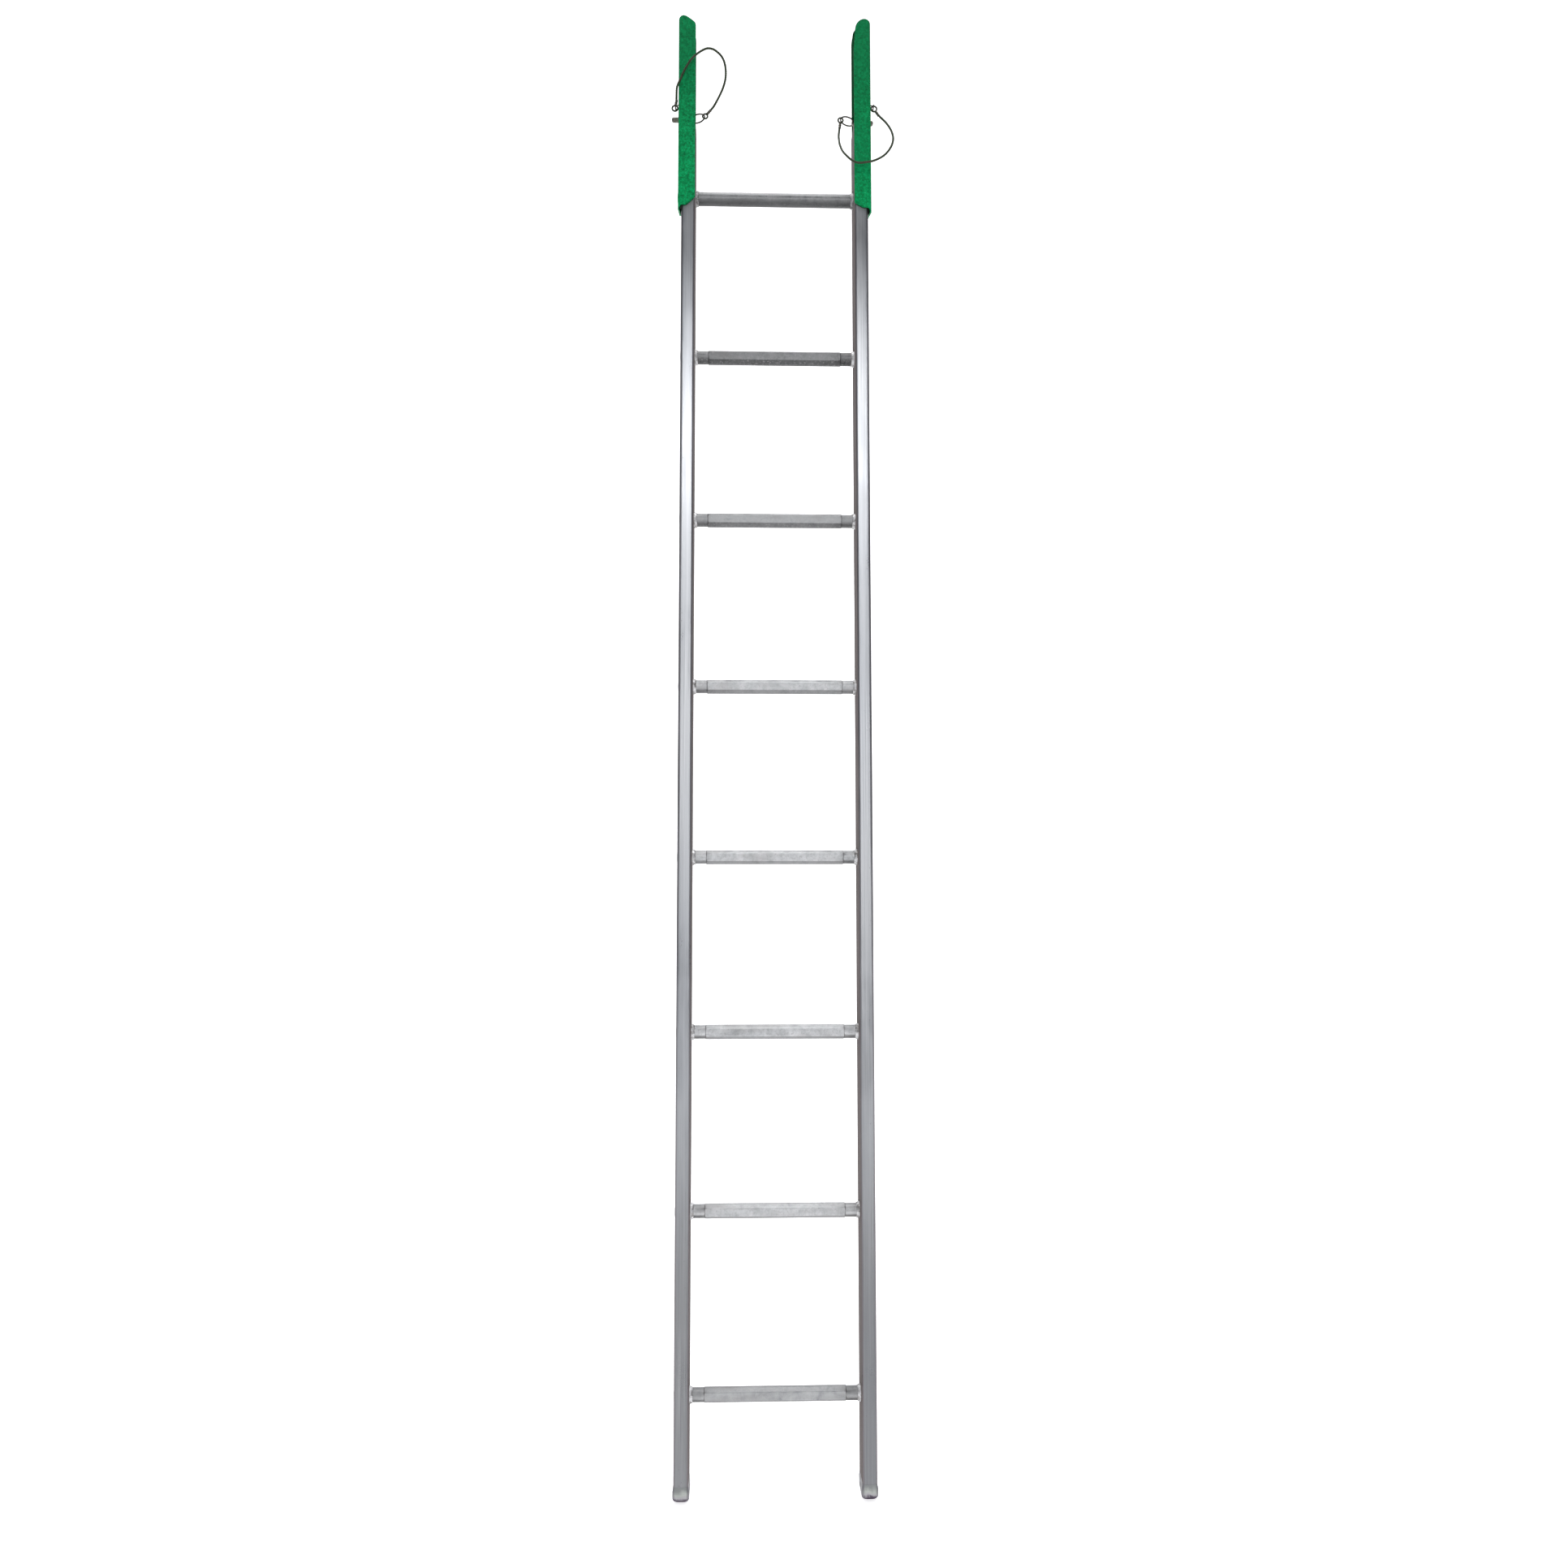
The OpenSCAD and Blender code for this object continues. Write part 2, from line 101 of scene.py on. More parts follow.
def make_camera():
    yaw, pitch, roll = (math.radians(a) for a in CAMERA_TURN)
    forward = Vector((math.sin(yaw) * math.cos(pitch), math.cos(yaw) * math.cos(pitch),
                      math.sin(pitch)))
    right = Vector((math.cos(yaw), -math.sin(yaw), 0))
    up = right.cross(forward)
    across = right * math.cos(roll) + up * math.sin(roll)
    upward = up * math.cos(roll) - right * math.sin(roll)
    turn = Matrix((across, upward, -forward)).transposed().to_4x4()
    data = bpy.data.cameras.new("camera")
    data.sensor_width = 36
    data.lens = CAMERA_LENS
    data.clip_start = 0.05
    data.clip_end = 60
    camera = bpy.data.objects.new("camera", data)
    camera.matrix_world = Matrix.Translation(CAMERA_AT) @ turn
    bpy.context.scene.collection.objects.link(camera)
    bpy.context.scene.camera = camera


make_camera()

# ---------------------------------------------------------------- mesh helpers


def new_piece(name, verts, faces, sharp=35, uv=None):
    """A mesh piece from points in millimetres, smooth except at edges sharper than the angle."""
    mesh = bpy.data.meshes.new(name)
    mesh.from_pydata([tuple(c * MM for c in v) for v in verts], [], faces)
    mesh.validate()
    mesh.update()
    if uv is not None:
        layer = mesh.uv_layers.new(name="along")
        for loop in mesh.loops:
            layer.data[loop.index].uv = uv[loop.vertex_index]
    mesh.polygons.foreach_set("use_smooth", [True] * len(mesh.polygons))
    mesh.set_sharp_from_angle(angle=math.radians(sharp))
    piece = bpy.data.objects.new(name, mesh)
    bpy.context.scene.collection.objects.link(piece)
    return piece


def loft(rings, closed=False):
    """Verts and faces of a tube through rings of equally many points. Open ends get a face."""
    count, size = len(rings), len(rings[0])
    verts = [p for ring in rings for p in ring]
    faces = []
    for i in range(count - 1):
        for j in range(size):
            a, b = i * size + j, i * size + (j + 1) % size
            faces.append((a, b, b + size, a + size))
    if closed:
        faces += [((count - 1) * size + j, (count - 1) * size + (j + 1) % size,
                   (j + 1) % size, j) for j in range(size)]
    else:
        faces.append(tuple(range(size - 1, -1, -1)))
        faces.append(tuple((count - 1) * size + j for j in range(size)))
    return verts, faces


def joined(parts):
    """Several shapes as the verts and faces of one."""
    verts, faces = [], []
    for v, f in parts:
        faces += [tuple(i + len(verts) for i in face) for face in f]
        verts += list(v)
    return verts, faces


def mirrored(parts):
    """The same shape on the other side of the ladder."""
    verts, faces = parts
    return [(-v[0], v[1], v[2]) for v in verts], [tuple(reversed(f)) for f in faces]


def on_side(side, parts):
    """A shape made for the right side, on the side that is asked for."""
    return parts if SIDES[side] > 0 else mirrored(parts)


def circle(count):
    """Angles of that many points spaced evenly round a circle."""
    return [2 * math.pi * j / count for j in range(count)]


def stand_in(piece, node, body="frame"):
    """The piece rides on the body and takes the node's place."""
    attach(piece, body)
    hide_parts(node)


def wobble(*turns):
    """A repeatable small uneven number from -1 to 1."""
    return sum(math.sin(t * k + 1.7 * k) for k, t in enumerate(turns, 1)) / len(turns)


# ---------------------------------------------------------------- lanyards

# Out from the rail's middle, back, and up from the lock pins' axis, in millimetres.
LEFT_ROUTE = [
    (23, -20, 24), (23, -22, 29), (22.5, -28, 35), (21.5, -35, 41), (18.5, -40, 46),
    (14, -42.5, 54), (9, -44.5, 65), (2, -45.5, 78), (-5, -46, 89), (-14, -45, 99),
    (-24, -43, 108), (-34, -41, 114),
    (-44, -38, 115), (-52, -35, 112), (-59, -32, 107), (-64, -29, 100), (-67, -25, 91),
    (-68, -21, 81), (-67, -17, 70), (-63, -13, 57), (-57, -9, 45), (-50, -4, 34), (-45, -1, 27),
    (-40, 0, 21)]
RIGHT_ROUTE = [
    (33, -20, 5), (38, -21, -1), (45, -24, -10), (52, -29, -23), (57, -34, -37), (59, -38, -52),
    (56, -41, -67), (49, -43, -80), (41, -44, -89), (31, -45, -96), (19, -45, -101),
    (8, -45, -103), (-3, -44, -104), (-12, -43.5, -102), (-20, -41.5, -96), (-28, -38, -86),
    (-34, -30, -73), (-38, -22, -57), (-39, -13, -42), (-39, -6, -29), (-38, -2, -19),
    (-37, 0, -11)]
ROUTES = {"left": LEFT_ROUTE, "right": RIGHT_ROUTE}
SPLIT = 12  # the route's point where the rope's anchor run ends and its ring run begins
ROPE_D = 4.0
ROPE_LAY = 21.0  # one turn of the strands
ROPE_STEP = 0.9
FINE = 24  # smooth points to each route point
EYE_D = 3.0
ANCHOR_EYE_R = 5.2
RING_EYE_R = 4.6
CRIMP_SPAN = (5.2, 16.0)  # from the middle of its eye
CRIMP_R = 2.6
CRIMP_ROUNDING = 0.45


def place(side, p):
    """A route point's place in the frame."""
    return np.array([SIDES[side] * (RAIL_X + p[0]), p[1], PIN_Z + p[2]], float)


def on_route(route, t):
    """The same smooth curve as in the CAD, at place t in route points."""
    last = len(route) - 1
    i = min(last - 1, int(t))
    f = t - i
    a, b, c, d = (np.array(route[k], float)
                  for k in (max(0, i - 1), i, i + 1, min(last, i + 2)))
    return 0.5 * (2 * b + (c - a) * f + (2 * a - 5 * b + 4 * c - d) * f ** 2
                  + (3 * b - a - 3 * c + d) * f ** 3)


def strand_radius(angle):
    """The outline of six strands round a core, for a rope of diameter 2."""
    off = (angle + math.pi / 6) % (math.pi / 3) - math.pi / 6
    return (2 / 3) * math.cos(off) + math.sqrt(max(0, 1 / 9 - (4 / 9) * math.sin(off) ** 2))


def rope_rings(line, along, radius, lay, closed=False):
    """Rings of a twisted six-strand rope whose middle follows the line."""
    n = len(line)
    rings, uv = [], []
    normal = None
    for k in range(n):
        if closed:
            way = line[(k + 1) % n] - line[k - 1]
        else:
            way = line[min(n - 1, k + 1)] - line[max(0, k - 1)]
        way = way / np.linalg.norm(way)
        if normal is None:
            normal = np.cross(way, (0, 1, 0))
        normal = normal - way * (normal @ way)
        normal /= np.linalg.norm(normal)
        other = np.cross(way, normal)
        turn = 2 * math.pi * along[k] / lay
        ring = []
        for a in circle(36):
            r = radius * strand_radius(a - turn)
            ring.append(line[k] + r * (normal * math.cos(a) + other * math.sin(a)))
            uv.append((along[k] / 100, (a - turn) / (2 * math.pi)))
        rings.append(ring)
    return rings, uv


def rope_run(name, side, start, end):
    """The stretch of the side's rope between two route points, and the line it follows."""
    route = ROUTES[side]
    fine = [place(side, on_route(route, t))
            for t in np.linspace(0, len(route) - 1, FINE * (len(route) - 1) + 1)]
    reach = np.concatenate([[0], np.cumsum(np.linalg.norm(np.diff(fine, axis=0), axis=1))])
    first, last = reach[FINE * start], reach[FINE * end]
    along = np.linspace(first, last, int((last - first) / ROPE_STEP) + 1)
    line = np.stack([np.interp(along, reach, np.array(fine)[:, k]) for k in range(3)], axis=1)
    rings, uv = rope_rings(line, along, ROPE_D / 2, ROPE_LAY)
    verts, faces = loft(rings)
    return new_piece(name, verts, faces, sharp=60, uv=uv), line


def rope_eye(name, centre, radius, turns):
    """A closed loop of the thinner wire, facing the front."""
    n = 72
    line = np.array([centre + radius * np.array([math.cos(a), 0, math.sin(a)])
                     for a in circle(n)])
    around = 2 * math.pi * radius
    along = np.array([around * k / n for k in range(n)])
    rings, uv = rope_rings(line, along, EYE_D / 2, around / turns, closed=True)
    verts, faces = loft(rings, closed=True)
    return new_piece(name, verts, faces, sharp=60, uv=uv)


def sleeve(name, a, b):
    """A crimp sleeve between two points, with two pressed waists."""
    long = np.linalg.norm(b - a)
    way = (b - a) / long
    normal = np.cross(way, (0, 1, 0))
    normal /= np.linalg.norm(normal)
    other = np.cross(way, normal)
    rings = []
    for k in range(45):
        t = k / 44
        into = CRIMP_ROUNDING - min(min(t, 1 - t) * long, CRIMP_ROUNDING)
        rounding = CRIMP_ROUNDING - math.sqrt(max(0, CRIMP_ROUNDING ** 2 - into ** 2))
        pressed = sum(math.exp(-((t - c) / 0.09) ** 2) for c in (0.28, 0.72))
        ring = []
        for g in circle(32):
            flat = 1 - pressed * (0.2 * math.cos(g) ** 2 + 0.03)
            r = (CRIMP_R - rounding) * flat
            ring.append(a + way * t * long + r * (normal * math.cos(g) + other * math.sin(g)))
        rings.append(ring)
    verts, faces = loft(rings)
    return new_piece(name, verts, faces, sharp=40)


def centre_of(node):
    low, high = box_mm(node)
    return (low + high) / 2


def lanyard(side):
    """One rope in two runs with an eye and a sleeve at each end. Gives its ropes and sleeves."""
    route = ROUTES[side]
    near, near_line = rope_run("lanyard_%s_anchor_run" % side, side, 0, SPLIT)
    far, far_line = rope_run("lanyard_%s_ring_run" % side, side, SPLIT, len(route) - 1)
    anchor_eye = rope_eye("lanyard_%s_anchor_eye" % side, centre_of("anchor_eye_" + side),
                          ANCHOR_EYE_R, 1.5)
    ring_eye = rope_eye("lanyard_%s_ring_eye" % side, centre_of("ring_eye_" + side),
                        RING_EYE_R, 4 / 3)
    sleeves = []
    for end, line in (("anchor", near_line), ("ring", far_line[::-1])):
        centre = centre_of("%s_eye_%s" % (end, side))
        way = (line[0] - centre) / np.linalg.norm(line[0] - centre)
        sleeves.append(sleeve("lanyard_%s_%s_crimp" % (side, end),
                              *(centre + reach * way for reach in CRIMP_SPAN)))
    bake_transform(near)
    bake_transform(far)
    for piece, node, body in ((anchor_eye, "anchor_eye_", "frame"),
                              (sleeves[0], "anchor_crimp_", "frame"),
                              (ring_eye, "ring_eye_", "ring_" + side),
                              (sleeves[1], "ring_crimp_", "ring_" + side)):
        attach(piece, body)
        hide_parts(node + side)
    for run, line, extra in ((near, near_line, [anchor_eye, sleeves[0]]),
                             (far, far_line, [sleeves[1], ring_eye])):
        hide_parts("lanyard_" + side)
    return [near, far, anchor_eye, ring_eye], sleeves


lanyards = [lanyard(side) for side in SIDES]

# ---------------------------------------------------------------- rails


def rounded_rect(w, d, r, z, centre):
    """A ring of points round a rectangle with rounded corners, at height z."""
    steps = 8
    ring = []
    for i, (sx, sy) in enumerate(((1, 1), (-1, 1), (-1, -1), (1, -1))):
        for k in range(steps + 1):
            a = math.radians(90 * (i + k / steps))
            ring.append((centre + sx * (w / 2 - r) + r * math.cos(a),
                         sy * (d / 2 - r) + r * math.sin(a), z))
    return ring


def rail(side):
    """The rail tube, open at its top, with rounded rims and slightly uneven, handled faces."""
    heights = [FOOT_H, FOOT_H + 0.4] + list(np.linspace(FOOT_H + 12, RAIL_TOP - 4, 60))
    rings = []
    for z in heights + [RAIL_TOP - 0.4]:
        inset = 0.3 if z == FOOT_H else 0.0
        sway = 0.12 * wobble(z / 190, z / 83)
        rings.append(rounded_rect(RAIL_W - inset, RAIL_D - inset, RAIL_CORNER, z,
                                  centre=RAIL_X + sway * math.sin(math.pi * z / RAIL_TOP)))
    rings.append(rounded_rect(RAIL_W - 0.5, RAIL_D - 0.5, RAIL_CORNER - 0.2, RAIL_TOP,
                              centre=RAIL_X))
    inner_w, inner_d = RAIL_W - 2 * RAIL_WALL, RAIL_D - 2 * RAIL_WALL
    inner_r = RAIL_CORNER - RAIL_WALL
    rings.append(rounded_rect(inner_w + 0.5, inner_d + 0.5, inner_r, RAIL_TOP, centre=RAIL_X))
    for z in (RAIL_TOP - 0.4, RAIL_TOP - 60, FOOT_H + 46):
        rings.append(rounded_rect(inner_w, inner_d, inner_r, z, centre=RAIL_X))
    verts, faces = loft(rings)
    piece = new_piece("rail_%s_tube" % side, *on_side(side, (verts, faces)), sharp=50)
    stand_in(piece, "rail_" + side)
    return piece


# ---------------------------------------------------------------- rungs


def tread_radius(angle):
    """Radius of the flatted tread: eight flats with eased edges. Angle 0 is up, 90 is back."""
    flats = [((0, 1), TREAD_H), ((0, -1), TREAD_H), ((1, 0), TREAD_D), ((-1, 0), TREAD_D)]
    side_flat, top_flat = 7.2, 3.0
    chamfer = np.array([TREAD_H - side_flat, TREAD_D - top_flat])
    chamfer /= np.linalg.norm(chamfer)
    reach = chamfer @ np.array([TREAD_D, side_flat])
    for sy in (-1, 1):
        for sz in (-1, 1):
            flats.append(((sy * chamfer[0], sz * chamfer[1]), reach))
    y, z = math.sin(angle), math.cos(angle)
    sharpness = 44
    total = sum((max(0.0, (n[0] * y + n[1] * z)) / h) ** sharpness for n, h in flats)
    return total ** (-1 / sharpness)


def rung(number):
    """A rung along X. Rungs 1 to 7 turn down from the tread to round necks; the top is round."""
    z = RUNG_Z[number - 1]
    angles = circle(128)
    body = [tread_radius(a) for a in angles]
    top = number == RUNGS
    if top:
        stations = [(x, None) for x in (TOP_RUNG_HALF, 150, 100, 50, 0)]
    else:
        shoulder, shoulder_at = 1.9, TREAD_HALF + 0.5
        stations = [(RUNG_HALF, 0.0), (145, 0.0), (shoulder_at, 0.0)]
        stations += [(shoulder_at - shoulder * t, t * t * (3 - 2 * t))
                     for t in (0.15, 0.3, 0.45, 0.6, 0.75, 0.9, 1.0)]
        stations += [(x, 1.0) for x in (110, 80, 40, 0)]
    stations += [(-x, m) for x, m in reversed(stations[:-1])]
    rings = []
    for x, share in reversed(stations):
        bow = 0.15 * wobble(number * 2.1 + x / 60)
        ring = []
        for a, b in zip(angles, body):
            r = TOP_RUNG_R if top else NECK_R * (1 - share) + b * share
            ring.append((x, -r * math.sin(a) + (bow if share else 0) * 0.4, z + r * math.cos(a)))
        rings.append(ring)
    piece = new_piece("rung_%d_tube" % number, *loft(rings), sharp=30)
    stand_in(piece, "rung_%d" % number)
    return piece


# ---------------------------------------------------------------- welds


def bead(z, neck, radius, seed):
    """A rippled weld bead on the inner face of the right rail."""
    face = RAIL_X - RAIL_W / 2
    foot, reach = radius - neck, 6.6
    around, steps = circle(120), 9
    rings = []
    for k in range(steps + 1):
        a = math.pi / 2 * k / steps
        ring = []
        for g in around:
            ripple = 0.5 + 0.5 * math.cos(26 * g + 2.2 * math.sin(a) + seed)
            size = 0.9 + 0.05 * wobble(2 * g + seed, 3 * g - seed) - 0.07 * ripple
            r = neck + foot * size * math.cos(a)
            ring.append((face - reach * size * math.sin(a), r * math.sin(g), z + r * math.cos(g)))
        rings.append(ring)
    bore = neck - 0.3
    inner = [[(x, bore * math.sin(g), z + bore * math.cos(g)) for g in around]
             for x in (face - reach * 0.83, face)]
    return loft(rings + inner, closed=True)


def dome(x, z, radius, height, seed, hub=0.0):
    """A low welded-over rung end, with ripples near its rim, standing out along +X."""
    steps = 12
    rings = []
    for k in range(steps + 1):
        t = k / steps
        r = radius * (1 - t) + 0.02
        rise = height * (1 - (r / radius) ** 2)
        ring = []
        for g in circle(96):
            ripple = 0.12 * math.cos(24 * g + seed) * math.exp(-((r / radius - 0.75) / 0.2) ** 2)
            dent = hub * math.exp(-(r / (0.3 * radius)) ** 2)
            ring.append((x + max(0.0, rise * 0.93 + ripple * height * 0.5 - dent) * (t > 0),
                         r * math.sin(g), z + r * math.cos(g)))
        rings.append(ring)
    verts, faces = loft(rings)
    return verts, [tuple(reversed(f)) for f in faces]


def welds(side):
    """The side's neck beads, its outer rung ends and the head of the top rung's tenon."""
    beads = [bead(z, NECK_R, 14.4, 1.3 * i + 0.4 * SIDES[side])
             for i, z in enumerate(RUNG_Z[:-1])]
    beads.append(bead(RUNG_Z[-1], TOP_RUNG_R, 14.5, 1.3 * (RUNGS - 1) + 0.4 * SIDES[side]))
    necks = new_piece("neck_welds_%s_beads" % side, *on_side(side, joined(beads)), sharp=50)
    stand_in(necks, "neck_welds_" + side)
    ends = [dome(RAIL_X + RAIL_W / 2, z, 15.5, 2.0, 0.7 * i) for i, z in enumerate(RUNG_Z[:-1])]
    caps = new_piece("end_welds_%s_caps" % side, *on_side(side, joined(ends)), sharp=60)
    stand_in(caps, "end_welds_" + side)
    head = new_piece("socket_tenon_%s_head" % side,
                     *on_side(side, dome(WEB_OUT, RUNG_Z[-1], 13.5, 2.8, 0.3, hub=0.5)), sharp=60)
    stand_in(head, "socket_tenon_" + side)
    return necks, caps, head


# ---------------------------------------------------------------- sockets


# Ends of a socket's flanges: distance in from the web's outer face, and height above the front
# flange's top or bottom. The rear ends stand higher, and the web slants up between them.
TOP_ENDS = {
    "left": [(31.45, -19), (30.9, -16), (29.6, -13.4), (27.4, -11), (24.5, -8.7), (18.5, -4.3),
             (15, -2), (12, -0.6), (9, 0), (7, -0.3), (4.5, -1.6), (2.4, -3.7), (1, -6.4)],
    "right": [(31.45, -60), (30.9, -50), (29.4, -30), (28.4, -18), (27, -12.6), (24.6, -8),
              (21.5, -4.4), (17.5, -1.5), (13, -0.1), (9.5, -0.2), (6, -1.5), (3.2, -3.8),
              (1.2, -7)],
    "rear": [(29.65, -3), (29.5, 0), (29.1, 3), (28.2, 9), (26.6, 19), (26, 21.4), (25, 23.5),
             (22.9, 26.2), (20.2, 28.2), (17.1, 29.5), (13.7, 30), (7.5, 30), (4.5, 29.2),
             (1.9, 26.4), (1.2, 25)]}
LOW_ENDS = {
    "left": [(31.45, 15.9), (30.7, 14.1), (17.2, 1.7), (15.5, 0.6), (13.1, 0), (7, 0),
             (5.2, -0.6), (4.2, -1.9), (1.2, -8.6)],
    "right": [(31.45, 9.7), (30.1, 7.7), (17.3, 0.8), (16, 0.2), (14.5, 0), (7, 0), (5.2, -0.6),
              (4.2, -1.9), (1.2, -8.6)],
    "rear": [(29.65, 36.9), (28.8, 35.1), (17.1, 22.7), (15.5, 21.6), (13.1, 21), (7, 21),
             (5.2, 20.4), (4.2, 19.1), (1.2, 12.4)]}


def end_height(ends, side, x, y, bend_from):
    """Height of the socket's cut end at a place on the middle of its plate."""
    def read(name):
        return float(np.interp(WEB_OUT - x, *zip(*reversed(ends[name]))))

    if abs(y) >= bend_from:
        return read(side if y < 0 else "rear")
    front, rear = read(side), read("rear")
    t = (y + bend_from) / (2 * bend_from)
    return front + (rear - front) * t


def socket_profile():
    """The middle of the plate seen from above, front edge first, as places and outward ways.
    Also how far from the ladder's middle plane its bends begin."""
    edge = RAIL_X - RAIL_W / 2
    bend = 6.5
    mid_bend, mid_half = bend - PLATE / 2, SOCKET_D / 2 - PLATE / 2
    web_mid = WEB_OUT - PLATE / 2
    bend_from = mid_half - mid_bend
    flange = WEB_OUT - bend - edge
    places = [0, 0.3, 0.7, 1.2, 1.8, 2.5, 3.3, 4.2, 5.2, 6.4, 7.8, 9.4, 11.2, 13.2, 15.4, 17.4,
              19, 20.6, 22, 23.4]
    places = [p for p in places if p < flange] + [flange]
    profile = [(edge + p, -mid_half, 0.0, -1.0) for p in places]
    for k in range(1, 9):
        a = math.radians(90 * k / 9 - 90)
        profile.append((web_mid - mid_bend + mid_bend * math.cos(a),
                        -bend_from + mid_bend * math.sin(a), math.cos(a), math.sin(a)))
    for y in np.linspace(-bend_from, 0, 10):
        profile.append((web_mid, y, 1.0, 0.0))
    profile += [(x + REAR_TUCK * max(0.0, 1 - (x - edge) / flange), -y, nx, -ny)
                for x, y, nx, ny in reversed(profile[:-1])]
    return profile, bend_from


def socket(side):
    """A bent plate: its profile runs round the rail and its ends are cut to an outline."""
    profile, bend_from = socket_profile()
    # Rows of points stand closer together near the cut ends.
    heights = [0, 0.25, 0.8, 2, 5, 10, 18, 30, 50, 80, 120, 160, 200, 240, 270, 295, 315, 330, 342]
    total = SOCKET_TOP - SOCKET_LOW
    shares = [h / total for h in heights] + [1 - h / total
                                             for h in (20, 13, 8, 4.5, 2.4, 1.2, 0.5, 0.15, 0)]
    columns = []
    for x, y, nx, ny in profile:
        z0 = SOCKET_LOW + end_height(LOW_ENDS, side, x, y, bend_from)
        z1 = SOCKET_TOP + end_height(TOP_ENDS, side, x, y, bend_from)
        columns.append([(x, y, z0 + (z1 - z0) * s, nx, ny) for s in shares])
    count, rows = len(columns), len(shares)
    rim = 0.45
    slopes = {0: [], rows - 1: []}
    for j in slopes:
        steps = [math.dist(columns[i][j][:2], columns[i - 1][j][:2]) for i in range(1, count)]
        along = np.concatenate([[0], np.cumsum(steps)])
        rise = np.gradient([c[j][2] for c in columns], along)
        slopes[j] = [(r / math.hypot(1, r), 1 / math.hypot(1, r)) for r in rise]
    ways = []
    for i in range(count):
        ahead = np.array(columns[min(count - 1, i + 1)][0][:2])
        behind = np.array(columns[max(0, i - 1)][0][:2])
        way = ahead - behind
        ways.append(way / np.linalg.norm(way))

    def inset(i, j):
        """How far a rim point moves in along the plate, square to the cut end."""
        along, up = 0.0, 0.0
        if j in slopes:
            turn = 1 if j == 0 else -1
            slope, flat = slopes[j][i]
            along, up = -turn * slope * rim, turn * flat * rim
        if i == 0:
            along = rim
        if i == count - 1:
            along = -rim
        return ways[i][0] * along, ways[i][1] * along, up

    def layer(offset):
        points = []
        for i, column in enumerate(columns):
            for j, (x, y, z, nx, ny) in enumerate(column):
                dx, dy, dz = inset(i, j)
                points.append((x + nx * offset + dx, y + ny * offset + dy, z + dz))
        return points

    def outer(i, j):
        return i * rows + j

    def inner(i, j):
        return count * rows + i * rows + j

    verts = layer(PLATE / 2) + layer(-PLATE / 2)
    faces = []
    for i in range(count - 1):
        for j in range(rows - 1):
            faces.append((outer(i, j), outer(i + 1, j), outer(i + 1, j + 1), outer(i, j + 1)))
            faces.append((inner(i, j), inner(i, j + 1), inner(i + 1, j + 1), inner(i + 1, j)))
    border = [(i, 0) for i in range(count)] + [(count - 1, j) for j in range(1, rows)]
    border += [(i, rows - 1) for i in range(count - 2, -1, -1)]
    border += [(0, j) for j in range(rows - 2, 0, -1)]
    n = len(border)
    waist = len(verts)
    for lift in (PLATE / 2 - rim, -PLATE / 2 + rim):
        for i, j in border:
            x, y, z, nx, ny = columns[i][j]
            verts.append((x + nx * lift, y + ny * lift, z))
    across = [(outer(*at), waist + k, waist + n + k, inner(*at)) for k, at in enumerate(border)]
    for here, ahead in zip(across, across[1:] + across[:1]):
        for m in range(3):
            faces.append((here[m], here[m + 1], ahead[m + 1], ahead[m]))
    piece = new_piece("socket_%s_channel" % side, *on_side(side, (verts, faces)), sharp=40)
    drill(piece, side, WEB_OUT - PLATE / 2, PIN_Z, PIN_HOLE_R, 8)
    stand_in(piece, "socket_" + side)
    return piece


def drill(piece, side, x, z, radius, half):
    """Cuts a round hole along X through the piece, from x - half to x + half."""
    rings = [[(at, radius * math.sin(g), z + radius * math.cos(g)) for g in circle(64)]
             for at in (x + half, x - half)]
    cutter = new_piece("cutter", *on_side(side, loft(rings)))
    change = piece.modifiers.new("hole", "BOOLEAN")
    change.operation = "DIFFERENCE"
    change.solver = "EXACT"
    change.object = cutter
    bpy.context.view_layer.update()
    cut = bpy.data.meshes.new_from_object(
        piece.evaluated_get(bpy.context.evaluated_depsgraph_get()))
    piece.modifiers.clear()
    old = piece.data
    piece.data = cut
    bpy.data.meshes.remove(old)
    bpy.data.objects.remove(cutter)
    cut.polygons.foreach_set("use_smooth", [True] * len(cut.polygons))
    cut.set_sharp_from_angle(angle=math.radians(40))


# ---------------------------------------------------------------- feet


def foot(side):
    """The closed, rolled foot with its cross hole."""
    half_w, half_d = RAIL_W / 2, RAIL_D / 2
    flare, flare_top, corner, roll = 14.0, 21, 10.0, 20.0
    rings = []
    levels = [roll * (1 - math.cos(math.radians(a))) for a in range(0, 91, 6)]
    levels = sorted({*(round(h, 3) for h in levels), 1, 3, 5, 6.5, 8, 21, 22, 23.5, 25, 27, 28.5,
                     29.6, FOOT_H})
    for z in levels:
        w = flare
        if z < corner:
            w = flare - corner + math.sqrt(max(0, corner ** 2 - (corner - z) ** 2))
        if z > flare_top:
            t = (z - flare_top) / (FOOT_H - flare_top)
            w = flare + (half_w - flare) * t * t * (3 - 2 * t)
        d = half_d
        if z < roll:
            d = half_d - roll + math.sqrt(max(0, roll ** 2 - (roll - z) ** 2))
        r = min(RAIL_CORNER + 0.8 * (1 - z / FOOT_H), w - 0.2, d - 0.2)
        rings.append(rounded_rect(2 * w, 2 * d, r, z, centre=RAIL_X))
    piece = new_piece("foot_%s_plug" % side, *on_side(side, loft(rings)), sharp=40)
    drill(piece, side, RAIL_X, FOOT_HOLE_Z, FOOT_HOLE_R, 20)
    stand_in(piece, "foot_plug_" + side)
    return piece


# ---------------------------------------------------------------- materials


